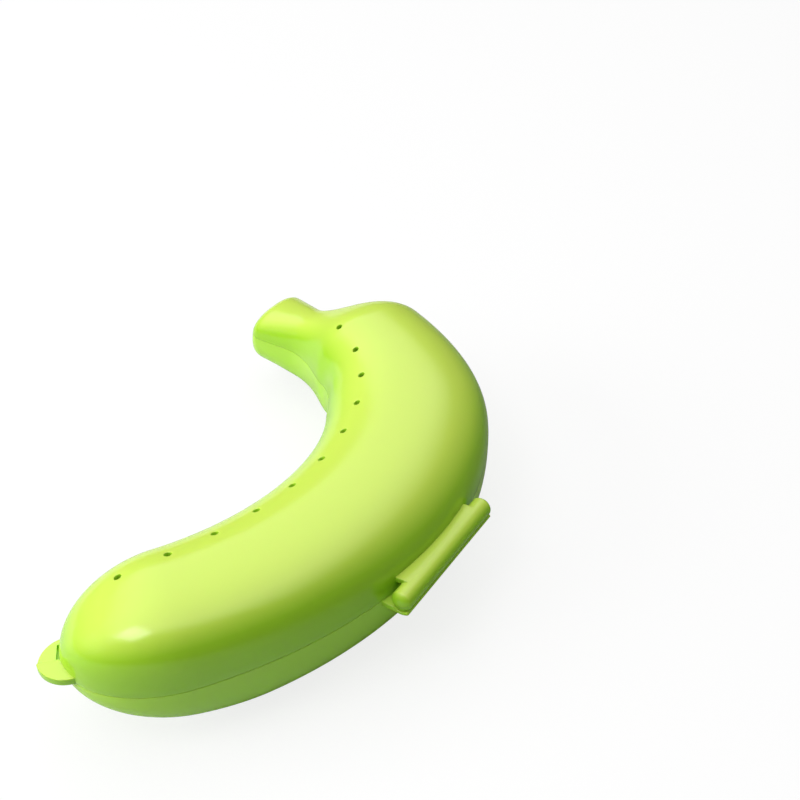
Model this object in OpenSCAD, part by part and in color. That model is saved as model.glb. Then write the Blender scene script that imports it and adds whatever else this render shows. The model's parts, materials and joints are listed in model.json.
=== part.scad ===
// Banana carrying case: two thin curved half shells, hinged on the outer curve and latched on the inner one.
// The case lies flat on its base. The hinge rod runs along X, the inner curve and the latch face -Y,
// the rounded tip points to +X and the stem to -X.
// The shape is swept along a centre line: u runs from the tip to the end of the stem,
// n runs sideways from the centre line, positive towards the inner curve.

/* [Centre line] */
// Length of the body, from the tip to where the neck starts
body_len = 192; // [175:1:205]
// Length of the neck, where the body narrows to the stem
neck_len = 30.5; // [26:0.5:36]
// Length of the stem past the neck
stem_len = 20; // [16:0.5:24]
// Bend radius at the tip
bend_tip = 127; // [110:1:160]
// Bend radius half way along the body
bend_mid = 104; // [95:1:120]
// Bend radius where the neck starts
bend_neck = 57; // [50:1:70]
// Bend radius of the stem
bend_stem = 430; // [200:10:800]
// How far the stem's waist lies off the centre line, towards the inner curve
waist_shift = 6.5; // [4:0.1:8]
// How far the stem's end lies off the centre line, towards the inner curve
stem_shift = 4.8; // [3:0.1:6]

/* [Section] */
// Width of the body near the tip
tip_w = 45.8; // [42:0.2:50]
// Width of the body at its widest
body_w = 55.8; // [52:0.2:60]
// Distance of the widest place from the tip
widest_at = 150; // [130:1:165]
// Width where the neck starts
neck_w = 47.4; // [42:0.2:52]
// Width of the stem's waist
waist_w = 20.6; // [18:0.2:23]
// Height of the waist above the parting plane
waist_up = 10.8; // [9:0.2:12]
// Depth of the waist below the parting plane
waist_down = 17.2; // [14:0.2:18]
// Width of the stem's flared end
stem_w = 27.4; // [24:0.2:30]
// Height of the stem's end above the parting plane
stem_up = 8; // [7:0.2:9]
// Depth of the stem's end below the parting plane
stem_down = 13.6; // [12:0.2:15]
// Length over which the stem flares
flare_len = 27; // [22:1:32]
// Width of the flat face at the end of the stem
stem_face_w = 13.2; // [11:0.2:16]
// Length over which the end of the stem rounds off
stem_round = 6; // [4:0.5:9]
// Slope of the stem's end face, whose lower edge stands out further
stem_lean = 0.18; // [0:0.02:0.24]
// Length over which that slope sets in
lean_len = 12; // [8:1:16]
// Height of the lid above the parting plane
upper_h = 21.4; // [18:0.2:24]
// Height of the base below the parting plane
lower_h = 24.6; // [21:0.2:27]
// Depth of the flat strip that is cut under the base
flat_cut = 0.6; // [0.4:0.1:1]
// Squareness of the lid's section towards the inner curve: 2 is an ellipse
upper_square = 2.34; // [2:0.02:2.8]
// Squareness of the lid's section towards the outer curve at the tip; it fades out towards the neck
outer_square = 3; // [2:0.02:3.2]
// Squareness of the base's section: 2 is an ellipse
lower_square = 2.66; // [2:0.02:3]
// Length of the rounded tip, seen from above
tip_round = 32; // [26:1:38]
// Length over which the underside rises to the tip
tip_rise = 51; // [40:1:60]
// Fullness of the rising underside: 2 is an ellipse
tip_rise_full = 1.65; // [1.5:0.05:2]

/* [Shells] */
// Wall thickness of both shells
wall = 1.8; // [1.4:0.1:2.2]
// Gap at the parting plane between lid and base
parting_gap = 0.2; // [0.15:0.05:0.5]

/* [Vents] */
// Number of vent holes
vent_count = 11; // [5:1:11]
// Diameter of a vent hole
vent_d = 2.2; // [1.5:0.1:3]
// Distance between vent holes along their row
vent_pitch = 15; // [13:0.5:15]
// Distance of the first vent hole from the tip
vent_first = 19.5; // [16:0.5:24]
// Distance of the row from the centre line at the tip
vent_side_tip = 3.5; // [0:0.5:6]
// Distance of the row from the centre line half way along the body
vent_side_mid = 15; // [10:0.5:17]
// Distance of the row from the centre line where the neck starts
vent_side_neck = 13; // [8:0.5:15]

/* [Hinge] */
// Distance of the hinge's middle from the tip
hinge_at = 102; // [96:1:112]
// Radius of the hinge rod
rod_r = 3.4; // [3:0.1:3.5]
// Length of the hinge rod over its domed ends
rod_len = 51; // [44:1:54]
// Height of the domes at the rod's ends
rod_dome = 1.9; // [1.2:0.1:2.8]
// Distance of the rod's axis from the wall
rod_off = 2.75; // [2.7:0.05:3.4]
// Height of the rod's axis above the parting plane
rod_rise = 2.35; // [2.3:0.05:3]
// Length of the web that carries the rod
web_len = 38; // [30:1:42]
// Thickness of the web
web_t = 1.8; // [1.4:0.1:2]
// Depth of the web's upper face below the top of the rod
web_drop = 0.4; // [0.3:0.1:1.2]
// Wall thickness of the trough
trough_t = 1.1; // [1:0.1:1.6]
// Length of the trough
trough_len = 49.4; // [42:0.2:52]
// Depth of the trough's inner edge below the rim of the base
trough_drop = 0.3; // [0.2:0.1:0.6]
// Radial play of the rod in the trough
rod_play = 0.05; // [0.03:0.01:0.1]
// How far below the level of the rod's axis the trough's outer lip ends, in degrees
lip_below = 48; // [30:1:60]

/* [Latch] */
// Distance of the latch's middle from the tip
latch_at = 103; // [97:1:109]
// Width of the hook
hook_w = 8.4; // [6:0.2:9]
// Thickness of the hook's arm
hook_t = 1.2; // [1:0.1:1.3]
// Reach of the hook above the parting plane
hook_up = 5.2; // [4:0.2:6]
// Reach of the hook below the parting plane
hook_down = 5.4; // [5:0.2:6]
// How far the nose stands out from the arm
nose_out = 0.6; // [0.4:0.1:0.7]
// Height of the nose
nose_h = 1.4; // [1:0.1:1.6]
// Clearance around the hook
hook_gap = 0.5; // [0.4:0.1:0.8]
// Length of the strap
strap_len = 18; // [16:0.5:20]
// Thickness of the strap's bar
strap_t = 1.6; // [1.3:0.1:2]
// Height of the strap
strap_h = 3.2; // [2.6:0.1:3.4]
// Gap between the strap's bar and the wall behind it
strap_gap = 0.9; // [0.8:0.1:1.2]

/* [Opening lugs] */
// Radius of the round that the two lugs make together
lug_r = 9; // [8:0.5:11]
// Thickness of each lug
lug_t = 2.4; // [1.6:0.2:3]
// Distance of the round's middle behind the end of the tip
lug_in = 3; // [2:0.2:4]
// Distance of the round's middle from the centre line, towards the outer curve
lug_side = 3; // [0:0.5:5]
// Distance of the split between the lugs from the round's middle, towards the outer curve
lug_split = 1.5; // [0:0.1:2]
// Width of the split
split_w = 0.3; // [0.2:0.1:0.8]
// Width of the blind slot in the base's lug, along the wall
slot_w = 1; // [0.8:0.1:1.6]
// Depth of the slot
slot_deep = 1.4; // [1:0.1:1.5]
// Length of the slot
slot_len = 5.4; // [4:0.2:6]
// Distance of the slot's near end from the round's middle, towards the inner curve
slot_side = 0.8; // [0:0.1:1.4]

/* [Stem tongue] */
// Width of the tongue at its foot
tongue_w = 11.8; // [9:0.2:12.4]
// Height of the tongue
tongue_h = 4; // [3:0.2:5]
// Distance of the tongue's point from the middle, towards the outer curve
tongue_lean = 1; // [0:0.2:2]
// Clearance between the tongue and its notch
tongue_gap = 0.4; // [0.3:0.1:0.6]

/* [Hidden] */

lime = [0.72, 0.88, 0.29];
lime_base = [0.62, 0.80, 0.24];
round_fn = 64;
// Gap between a shell and a piece that is seated on it
seat_gap = 0.02;
// Length by which a cut runs past what it cuts
over = 5;
// Number of facets across half a section
arc_steps = 16;
// Spacing of the sections along the body, and number of them in the rounded ends
ring_step = 4.4;
tip_rings = 8;
end_rings = 4;
// First section, close to the end of the tip
tip_start = 0.3;
// Step of the centre line's integration
path_step = 1;

total_len = body_len + neck_len + stem_len;
parting_z = lower_h;
half_gap = parting_gap / 2;

function clamp01(t) = max(0, min(1, t));
function ease(t) = let (c = clamp01(t)) c * c * (3 - 2 * c);
function in_neck(u) = ease((u - body_len) / neck_len);
function in_flare(u) = ease((u - total_len) / flare_len + 1);
function in_lean(u) = ease((u - total_len) / lean_len + 1);

// Value that runs smoothly through three values at the tip, half way and at the start of the neck
function through3(a, b, c, t) = a * (1 - t) * (1 - 2 * t) + b * 4 * t * (1 - t) + c * t * (2 * t - 1);

function bend(u) =
    through3(1 / bend_tip, 1 / bend_mid, 1 / bend_neck, clamp01(u / body_len))
    + (1 / bend_stem - 1 / bend_neck) * in_neck(u);
function turn(i) = bend((i + 0.5) * path_step) * path_step * 180 / PI;

// Centre line from the tip as [x, y, heading]
path_count = ceil(total_len / path_step) + 1;
path = [
    for (
        i = 0, p = [0, 0, 0];
        i <= path_count;
        p = p + [path_step * cos(p[2] + turn(i) / 2), path_step * sin(p[2] + turn(i) / 2), turn(i)],
        i = i + 1
    ) p
];
function path_at(u) = let (i = floor(u / path_step)) path[i] + (path[i + 1] - path[i]) * (u / path_step - i);

// The centre line is turned so that it runs towards -X where the hinge is
hinge_path = path_at(hinge_at);
frame_turn = 180 - hinge_path[2];
function heading(u) = path_at(u)[2] + frame_turn;
function turned(u) = let (d = path_at(u) - hinge_path)
    [cos(frame_turn) * d[0] - sin(frame_turn) * d[1], sin(frame_turn) * d[0] + cos(frame_turn) * d[1]];
function loose_at(u, n) = turned(u) + n * [-sin(heading(u)), cos(heading(u))];

// Half width, heights and sideways shift of the section at u
function tip_cap(u) = sqrt(1 - pow(1 - clamp01(u / tip_round), 2));
function rise_cap(u) = pow(1 - pow(1 - clamp01(u / tip_rise), tip_rise_full), 1 / tip_rise_full);
function end_cap(u) = let (s = 1 - clamp01((total_len - u) / stem_round))
    1 - (1 - stem_face_w / stem_w) * (1 - sqrt(1 - s * s));
function half_w(u) = tip_cap(u) * end_cap(u) / 2 * (tip_w
    + (body_w - tip_w) * ease(u / widest_at)
    + (neck_w - body_w) * ease((u - widest_at) / (body_len - widest_at))
    + (waist_w - neck_w) * in_neck(u)
    + (stem_w - waist_w) * in_flare(u));
function shift(u) = waist_shift * in_neck(u) + (stem_shift - waist_shift) * in_flare(u);
function full_up(u) = upper_h + (waist_up - upper_h) * in_neck(u) + (stem_up - waist_up) * in_flare(u);
function full_low(u) = let (h = lower_h + flat_cut)
    h + (waist_down - h) * in_neck(u) + (stem_down - waist_down) * in_flare(u);
function mid_h(u) = (full_up(u) - full_low(u)) / 2;
function up_h(u) = tip_cap(u) * (mid_h(u) + (full_up(u) - mid_h(u)) * end_cap(u));
function low_h(u) = rise_cap(u) * ((full_low(u) + mid_h(u)) * end_cap(u) - mid_h(u));

// Squareness of the section towards the inner and the outer curve
function upper_squares(u) = [upper_square, outer_square + (upper_square - outer_square) * ease(u / body_len)];
lower_squares = [lower_square, lower_square];

// Points across half a section, from the inner curve over the crown, or under the belly, to the outer curve.
// They start and end at the foot, a distance from the parting plane
function bow(v, square) = sign(v) * pow(abs(v), 2 / square);
function half_ring(u, w, h, squares, way, foot) = [
    for (k = [0 : arc_steps])
        let (
            a = 180 * k / arc_steps,
            square = squares[2 * k > arc_steps ? 1 : 0],
            rise = way * (foot + (h - foot) * bow(sin(a), square)),
            p = loose_at(u, shift(u) + w * bow(cos(a), square)),
            lean = -stem_lean * rise * in_lean(u)
        ) [p[0] + lean * cos(heading(u)), p[1] + lean * sin(heading(u)), parting_z + rise]
];
function upper_ring(u, grow = 0, foot = half_gap) =
    half_ring(u, half_w(u) + grow, up_h(u) + grow, upper_squares(u), 1, foot);
function lower_ring(u, grow = 0) =
    half_ring(u, half_w(u) + grow, low_h(u) + grow, lower_squares, -1, half_gap);

// The inside starts one wall past the end of the tip and stops one wall before the end of the stem
function inside_u(u) = wall + u * (total_len - 2 * wall) / total_len;
function upper_inside(u, foot = half_gap) = let (v = inside_u(u))
    half_ring(v, half_w(v) - wall, up_h(v) - wall, upper_squares(v), 1, foot);
function lower_inside(u) = let (v = inside_u(u))
    half_ring(v, half_w(v) - wall, low_h(v) - wall - flat_cut, lower_squares, -1, half_gap);

// Places of the sections: close together in the rounded ends
ring_us = concat(
    [for (i = [0 : tip_rings - 1]) tip_start + (tip_round - tip_start) * pow(i / tip_rings, 2)],
    let (run = total_len - stem_round - tip_round, count = round(run / ring_step))
        [for (i = [0 : count - 1]) tip_round + run * i / count],
    [for (i = [0 : end_rings]) total_len - stem_round * (1 - sin(90 * i / end_rings))]
);

// The origin is under the middle of the case, on the floor
skin = [for (u = ring_us) each concat(upper_ring(u), lower_ring(u))];
lug_loose = loose_at(0, -lug_side) + lug_in * [cos(heading(0)), sin(heading(0))];
trough_r = rod_r + rod_play;
trough_out = trough_r + trough_t;
hinge_loose_y = half_w(hinge_at) + rod_off;
hinge_out = max(rod_r, trough_out * cos(lip_below));
mid_x = (min([for (p = skin) p[0]]) + max(max([for (p = skin) p[0]]), lug_loose[0] + lug_r)) / 2;
mid_y = (min([for (p = skin) p[1]]) + hinge_loose_y + hinge_out) / 2;
middle = [mid_x, mid_y, 0];

hinge_x = -mid_x;
hinge_y = hinge_loose_y - mid_y;
hinge_z = parting_z + rod_rise;

function flat(lists) = [for (l = lists) each l];
function backwards(l) = [for (i = [len(l) - 1 : -1 : 0]) l[i]];

// Faces of a half shell whose points are all outer rings followed by all inner rings
function shell_faces(rings) =
    let (
        m = arc_steps + 1,
        last = rings - 1,
        o = function (i, k) i * m + k,
        n = function (i, k) (rings + i) * m + k
    ) concat(
        [for (i = [0 : last - 1], k = [0 : arc_steps - 1])
            [o(i, k), o(i + 1, k), o(i + 1, k + 1), o(i, k + 1)]],
        [for (i = [0 : last - 1], k = [0 : arc_steps - 1])
            [n(i, k + 1), n(i + 1, k + 1), n(i + 1, k), n(i, k)]],
        [for (i = [0 : last - 1]) [o(i, 0), n(i, 0), n(i + 1, 0), o(i + 1, 0)]],
        [for (i = [0 : last - 1])
            [o(i, arc_steps), o(i + 1, arc_steps), n(i + 1, arc_steps), n(i, arc_steps)]],
        [
            [for (k = [0 : arc_steps]) o(0, k)],
            [for (k = [arc_steps : -1 : 0]) n(0, k)],
            [o(0, 0), o(0, arc_steps), n(0, arc_steps), n(0, 0)],
            [for (k = [arc_steps : -1 : 0]) o(last, k)],
            [for (k = [0 : arc_steps]) n(last, k)],
            [o(last, arc_steps), o(last, 0), n(last, 0), n(last, arc_steps)]
        ]
    );

module half_shell(rings, faces) {
    translate(-middle)
        polyhedron(flat(rings), faces, convexity = 6);
}

module upper_blank() {
    half_shell(
        concat([for (u = ring_us) upper_ring(u)], [for (u = ring_us) upper_inside(u)]),
        shell_faces(len(ring_us))
    );
}

module lower_blank() {
    half_shell(
        concat([for (u = ring_us) lower_ring(u)], [for (u = ring_us) lower_inside(u)]),
        [for (f = shell_faces(len(ring_us))) backwards(f)]
    );
}

// Solid stretch of the whole case, by which the pieces seated on the shells are trimmed
module body_stretch(from_u, to_u) {
    us = [for (u = ring_us) if (u >= from_u && u <= to_u) u];
    rings = [for (u = us) concat(upper_ring(u, seat_gap), backwards(lower_ring(u, seat_gap)))];
    m = 2 * (arc_steps + 1);
    last = len(us) - 1;
    translate(-middle)
        polyhedron(
            flat(rings),
            concat(
                [for (i = [0 : last - 1], k = [0 : m - 1])
                    [i * m + k, (i + 1) * m + k, (i + 1) * m + (k + 1) % m, i * m + (k + 1) % m]],
                [[for (k = [0 : m - 1]) k], [for (k = [m - 1 : -1 : 0]) last * m + k]]
            ),
            convexity = 4
        );
}

// Frame on the case at u: X runs along the centre line, Y towards the inner curve
module on_case(u, n) {
    p = loose_at(u, n);
    translate([p[0], p[1], parting_z] - middle)
        rotate([0, 0, heading(u)])
            children();
}

// Distance of each vent hole from the tip: equal steps along the row itself
function vent_side(u) = through3(vent_side_tip, vent_side_mid, vent_side_neck, u / body_len);
function vent_next(u, part) = u + vent_pitch * part / (1 - bend(u) * vent_side(u));
vent_us = [
    for (
        i = 0, u = vent_first;
        i < vent_count;
        u = vent_next(vent_next(u, 0.5), 0.5),
        i = i + 1
    ) u
];

module vents() {
    for (u = vent_us)
        on_case(u, vent_side(u))
            translate([0, 0, upper_h / 2])
                cylinder(h = upper_h, d = vent_d, $fn = round_fn);
}

// Latch frame: Y = 0 is the outer face of the wall on the inner curve
module at_latch() {
    on_case(latch_at, half_w(latch_at))
        children();
}
arm_out = -hook_t / 4;
arm_in = arm_out - hook_t;
notch_w = hook_w + 2 * hook_gap;
module latch_notch(reach) {
    translate([-notch_w / 2, -wall - over, min(0, reach)])
        cube([notch_w, wall + 2 * over, abs(reach)]);
}

// Wedge at the end of the stem that the tongue fills, wider all round by a gap
module tongue_wedge(gap) {
    on_case(total_len, shift(total_len))
        rotate([90, 0, 90])
            translate([0, 0, -wall - over])
                linear_extrude(wall + 2 * over)
                    polygon([
                        [-tongue_w / 2 - gap, -over],
                        [tongue_w / 2 + gap, -over],
                        [tongue_w / 2 + gap, 0],
                        [-tongue_lean, tongue_h + gap],
                        [-tongue_w / 2 - gap, 0]
                    ]);
}

module upper_shell() {
    color(lime)
        difference() {
            upper_blank();
            vents();
            at_latch()
                translate([0, 0, -over])
                    latch_notch(over + hook_up + hook_gap);
            tongue_wedge(tongue_gap);
        }
}

module lower_shell() {
    color(lime_base)
        difference() {
            lower_blank();
            translate([-total_len, -total_len, -over])
                cube([2 * total_len, 2 * total_len, over]);
            at_latch()
                translate([0, 0, over])
                    latch_notch(-over - hook_down - hook_gap);
        }
}

module stem_tongue() {
    us = [for (u = ring_us) if (u > total_len - 2 * stem_round) u];
    color(lime_base)
        intersection() {
            half_shell(
                concat([for (u = us) upper_ring(u, 0, -half_gap)], [for (u = us) upper_inside(u, -half_gap)]),
                shell_faces(len(us))
            );
            tongue_wedge(0);
        }
}

// Stretch of the case that the hinge pieces are trimmed by
module hinge_stretch() {
    body_stretch(hinge_at - rod_len * 0.8, hinge_at + rod_len * 0.8);
}
module at_hinge(len) {
    translate([hinge_x - len / 2, hinge_y, hinge_z])
        rotate([90, 0, 90])
            children();
}

module rod_end() {
    ball = (rod_dome * rod_dome + rod_r * rod_r) / (2 * rod_dome);
    intersection() {
        translate([0, 0, rod_dome - ball])
            sphere(r = ball, $fn = round_fn);
        cylinder(h = ball, r = rod_r, $fn = round_fn);
    }
}

module hinge_rod() {
    straight = rod_len - 2 * rod_dome;
    color(lime)
        difference() {
            at_hinge(straight) {
                cylinder(h = straight, r = rod_r, $fn = round_fn);
                translate([0, 0, straight])
                    rod_end();
                rotate([180, 0, 0])
                    rod_end();
            }
            hinge_stretch();
        }
}

module hinge_web() {
    reach = rod_off + web_len * web_len / bend_mid / 4 + wall;
    color(lime)
        difference() {
            at_hinge(web_len)
                translate([-reach, rod_r - web_drop - web_t, 0])
                    cube([reach, web_t, web_len]);
            at_hinge(web_len + 2 * over)
                cylinder(h = web_len + 2 * over, r = rod_r + seat_gap, $fn = round_fn);
            hinge_stretch();
        }
}

module hinge_trough() {
    reach = rod_off + trough_len * trough_len / bend_mid / 4 + wall;
    brim = -rod_rise - half_gap - trough_drop;
    color(lime_base)
        difference() {
            at_hinge(trough_len)
                linear_extrude(trough_len)
                    difference() {
                        union() {
                            circle(r = trough_out, $fn = round_fn);
                            translate([-reach, -trough_out])
                                square([reach, trough_out]);
                        }
                        circle(r = trough_r, $fn = round_fn);
                        translate([-2 * reach, brim])
                            square([2 * reach, 2 * trough_out]);
                        for (from = [-lip_below, 0])
                            rotate(from)
                                square(2 * trough_out);
                    }
            hinge_stretch();
        }
}

module latch_strap() {
    outer = strap_gap + strap_t;
    color(lime_base)
        difference() {
            at_latch()
                translate([0, 0, -half_gap - strap_h])
                    linear_extrude(strap_h)
                        hull() {
                            translate([-strap_len / 2, -wall])
                                square([strap_len, wall + strap_gap]);
                            translate([-strap_len / 2 + outer, outer - strap_gap])
                                square([strap_len - 2 * outer, strap_gap]);
                        }
            at_latch()
                translate([-notch_w / 2, -wall - over, -strap_h - over])
                    cube([notch_w, wall + over + strap_gap, strap_h + 2 * over]);
            body_stretch(latch_at - 1.5 * strap_len, latch_at + 1.5 * strap_len);
        }
}

module latch_hook() {
    color(lime)
        at_latch()
            translate([-hook_w / 2, 0, 0])
                rotate([90, 0, 90])
                    linear_extrude(hook_w)
                        polygon([
                            [arm_in, hook_up],
                            [arm_in, -hook_down],
                            [arm_out, -hook_down],
                            [arm_out + nose_out, -hook_down + nose_h / 2],
                            [arm_out + nose_out, -hook_down + nose_h],
                            [arm_out, -hook_down + nose_h],
                            [arm_out, hook_up]
                        ]);
}

// Frame in the middle of the round that the two lugs make together
module at_lugs(rise) {
    on_case(0, -lug_side)
        translate([lug_in, 0, rise])
            children();
}

// Part of that round on one side of the split: the inner curve's side for 1, the outer curve's for -1
module lug_part(side) {
    intersection() {
        cylinder(h = lug_t, r = lug_r, $fn = round_fn);
        translate([-lug_r, -lug_split + side * split_w / 2 - (side < 0 ? 2 * lug_r : 0), 0])
            cube([2 * lug_r, 2 * lug_r, lug_t]);
    }
}

module base_lug() {
    color(lime_base)
        difference() {
            at_lugs(-half_gap - lug_t)
                lug_part(1);
            at_lugs(-half_gap - slot_deep)
                translate([-lug_in - slot_w, slot_side, 0])
                    cube([lug_in + slot_w, slot_len, slot_deep + over]);
            body_stretch(0, tip_rise);
        }
}

module lid_lug() {
    color(lime)
        difference() {
            at_lugs(half_gap)
                lug_part(-1);
            body_stretch(0, tip_rise);
        }
}

lower_shell();
hinge_trough();
latch_strap();
base_lug();
stem_tongue();
upper_shell();
hinge_web();
hinge_rod();
lid_lug();
latch_hook();
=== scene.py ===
"""Banana carrying case: two half shells with a rod hinge, a snap latch, two lugs and a row of vents."""

import json
import math
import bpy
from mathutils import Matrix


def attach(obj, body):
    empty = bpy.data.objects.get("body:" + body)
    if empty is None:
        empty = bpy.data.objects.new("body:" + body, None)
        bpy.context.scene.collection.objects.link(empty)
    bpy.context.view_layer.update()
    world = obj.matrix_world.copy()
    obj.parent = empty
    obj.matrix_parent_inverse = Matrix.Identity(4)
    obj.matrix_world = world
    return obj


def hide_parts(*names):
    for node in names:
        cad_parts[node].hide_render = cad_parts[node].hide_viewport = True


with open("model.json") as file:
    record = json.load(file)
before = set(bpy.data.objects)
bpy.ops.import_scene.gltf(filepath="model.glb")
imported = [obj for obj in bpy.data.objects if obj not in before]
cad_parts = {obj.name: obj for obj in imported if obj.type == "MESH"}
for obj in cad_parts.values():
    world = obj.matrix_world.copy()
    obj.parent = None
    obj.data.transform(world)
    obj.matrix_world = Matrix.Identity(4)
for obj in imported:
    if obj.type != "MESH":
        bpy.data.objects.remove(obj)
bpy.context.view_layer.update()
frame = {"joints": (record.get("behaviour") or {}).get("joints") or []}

from types import SimpleNamespace

import bmesh
import bpy
from mathutils import Matrix, Vector

bl_info = {
    "name": "Banana carrying case",
    "version": (1, 0, 0),
    "blender": (4, 5, 0),
    "location": "View3D > Sidebar > Case",
    "description": "Builds a banana carrying case with a hinged lid and a snap latch on a white floor",
    "category": "Add Mesh",
}

JOINTS = {joint["name"]: joint for joint in frame["joints"]}
UP = Vector((0, 0, 1))
LID, BASE = 1, -1  # way from the parting plane: up or down

# Distances and shares
MM = 0.001  # one millimetre in metres
TINY = 1e-9  # least height or width of a section
WELD = 2e-7  # points closer than this are merged
SEAT = 0.6 * MM  # how deep a piece is rooted in the wall that it stands on
OVER = 5 * MM  # how far a cutter reaches past what it cuts
THROUGH = 3  # reach of a cut through a wall, in wall thicknesses
SLOPE_REACH = 0.5 * MM  # distance to both sides over which the lid's slope is measured
CREST_DIP = 0.02 * MM  # how far the web stays below the top of the rod
HOOK_INSET = 0.25  # distance of the hook's front behind the wall's face, in hook thicknesses
RIM_MOST = 0.3  # largest share of a section's height or half width that its rounded rim takes
HOLD = 1.5  # distance of the ring that keeps a lug's faces flat, in edge roundings
UPRIGHT = 0.99  # a light whose axis rises by more than this shines straight down

# Fineness of the meshes
RIM_STEPS = 3  # in the rounding of a shell's rim
ARC_STEPS = 24  # from there to the crown of a section
TIP_ROWS = 30  # sections in the rounded tip
BODY_ROW = 1.5 * MM  # distance between sections along the body
END_ROWS = 12  # sections in the rounded end of the stem
CAP_ROWS = 4  # rings in a flat face that closes a shell
HINGE_ROWS = 40  # sections along the web and the trough
WEB_STEPS = 10  # across the web
DOME_STEPS = 10  # from the middle of the rod's domes to their rims
TROUGH_STEPS = 24  # round the trough
ROD_SIDES = 64  # round the rod
VENT_SIDES = 32  # round a vent hole
LUG_STEPS = 96  # round a lug
CORNER_STEPS = 8  # round a lug's corners
ROUND_STEPS = 4  # across the rounded edges of the lugs and the vent holes
EDGE_STEPS = 3  # across a bevelled edge
SEARCH_STEPS = 30  # halvings in the search for the wall beside the hinge


def length(name, mm, text):
    """A size in metres whose default is given in millimetres."""
    return bpy.props.FloatProperty(
        name=name, description=text, default=mm * MM, min=0.0, unit="LENGTH", precision=5
    )


def ratio(name, value, text):
    return bpy.props.FloatProperty(name=name, description=text, default=value, precision=4)


def colour(name, rgb, text):
    return bpy.props.FloatVectorProperty(
        name=name, description=text, default=rgb, size=3, min=0.0, max=1.0, subtype="COLOR"
    )


class CaseLine(bpy.types.PropertyGroup):
    """Centre line, from the tip to the end of the stem."""

    body_len: length("Body", 192, "From the tip to where the neck starts")
    neck_len: length("Neck", 30.5, "Length over which the body narrows to the stem")
    stem_len: length("Stem", 19.9, "Length of the stem past the neck")
    bend_tip: length("Bend at the tip", 127, "Bend radius at the tip")
    bend_mid: length("Bend half way", 104, "Bend radius half way along the body")
    bend_neck: length("Bend at the neck", 57, "Bend radius where the neck starts")
    bend_stem: length("Bend of the stem", 430, "Bend radius of the stem")
    waist_shift: length("Waist shift", 6.5, "Shift of the waist towards the inner curve")
    stem_shift: length("Stem shift", 4.8, "Shift of the stem's end towards the inner curve")
    step: length("Step", 1, "Step of the centre line's integration")


class CaseSection(bpy.types.PropertyGroup):
    """Widths, heights and roundings of the case."""

    tip_w: length("Tip width", 45.8, "Width of the body near the tip")
    body_w: length("Body width", 55.8, "Width of the body at its widest")
    widest_at: length("Widest at", 150, "Distance of the widest place from the tip")
    neck_w: length("Neck width", 47.4, "Width where the neck starts")
    waist_w: length("Waist width", 20.6, "Width of the stem's waist")
    waist_up: length("Waist height", 10.8, "Height of the waist above the parting plane")
    waist_down: length("Waist depth", 17.2, "Depth of the waist below the parting plane")
    stem_w: length("Stem width", 27.4, "Width of the stem's flared end")
    stem_up: length("Stem height", 8, "Height of the stem's end above the parting plane")
    stem_down: length("Stem depth", 13.6, "Depth of the stem's end below the parting plane")
    flare_len: length("Flare", 27, "Length over which the stem flares")
    stem_face_w: length("Stem face", 13.2, "Width of the flat face at the end of the stem")
    stem_round: length("Stem rounding", 6, "Length over which the end of the stem rounds off")
    stem_lean: ratio("Stem lean", 0.18, "Slope of the stem's end face")
    lean_len: length("Lean length", 12, "Length over which that slope sets in")
    upper_h: length("Lid height", 21.4, "Height of the lid above the parting plane")
    lower_h: length("Base depth", 24.6, "Depth of the base below the parting plane")
    flat_cut: length("Flat strip", 0.6, "Depth of the flat strip under the base")
    upper_square: ratio("Lid squareness", 2.34, "Squareness of the lid's inner curve, 2 for an ellipse")
    outer_square: ratio("Lid shoulder", 3, "Squareness of the lid's outer curve at the tip")
    lower_square: ratio("Base squareness", 2.66, "Squareness of the base's section, 2 for an ellipse")
    tip_round: length("Tip rounding", 32, "Length of the rounded tip, seen from above")
    tip_rise: length("Tip rise", 51, "Length over which the underside rises to the tip")
    tip_rise_full: ratio("Tip fullness", 1.65, "Fullness of the rising underside, 2 for an ellipse")
    wall: length("Wall", 1.8, "Wall thickness of both shells")
    parting_gap: length("Parting gap", 0.12, "Gap at the parting plane")
    rim: length("Rim rounding", 0.1, "Rounding of the shells' outer rims")
    inner_rim: length("Inner rim rounding", 0.05, "Rounding of the shells' inner rims")


class CaseVents(bpy.types.PropertyGroup):
    """Row of vent holes in the lid."""

    count: bpy.props.IntProperty(name="Vents", description="Number of vent holes", default=11, min=1)
    bore: length("Bore", 2.2, "Diameter of a vent hole")
    pitch: length("Pitch", 15, "Distance between vent holes along their row")
    first: length("First", 19.5, "Distance of the first vent hole from the tip")
    side_tip: length("Side at the tip", 3.5, "Distance of the row from the centre line at the tip")
    side_mid: length("Side half way", 15, "Distance of the row from the centre line half way")
    side_neck: length("Side at the neck", 13, "Distance of the row from the centre line at the neck")
    flare: length("Flare", 0.3, "Rounding of the holes' upper edges")


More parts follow.
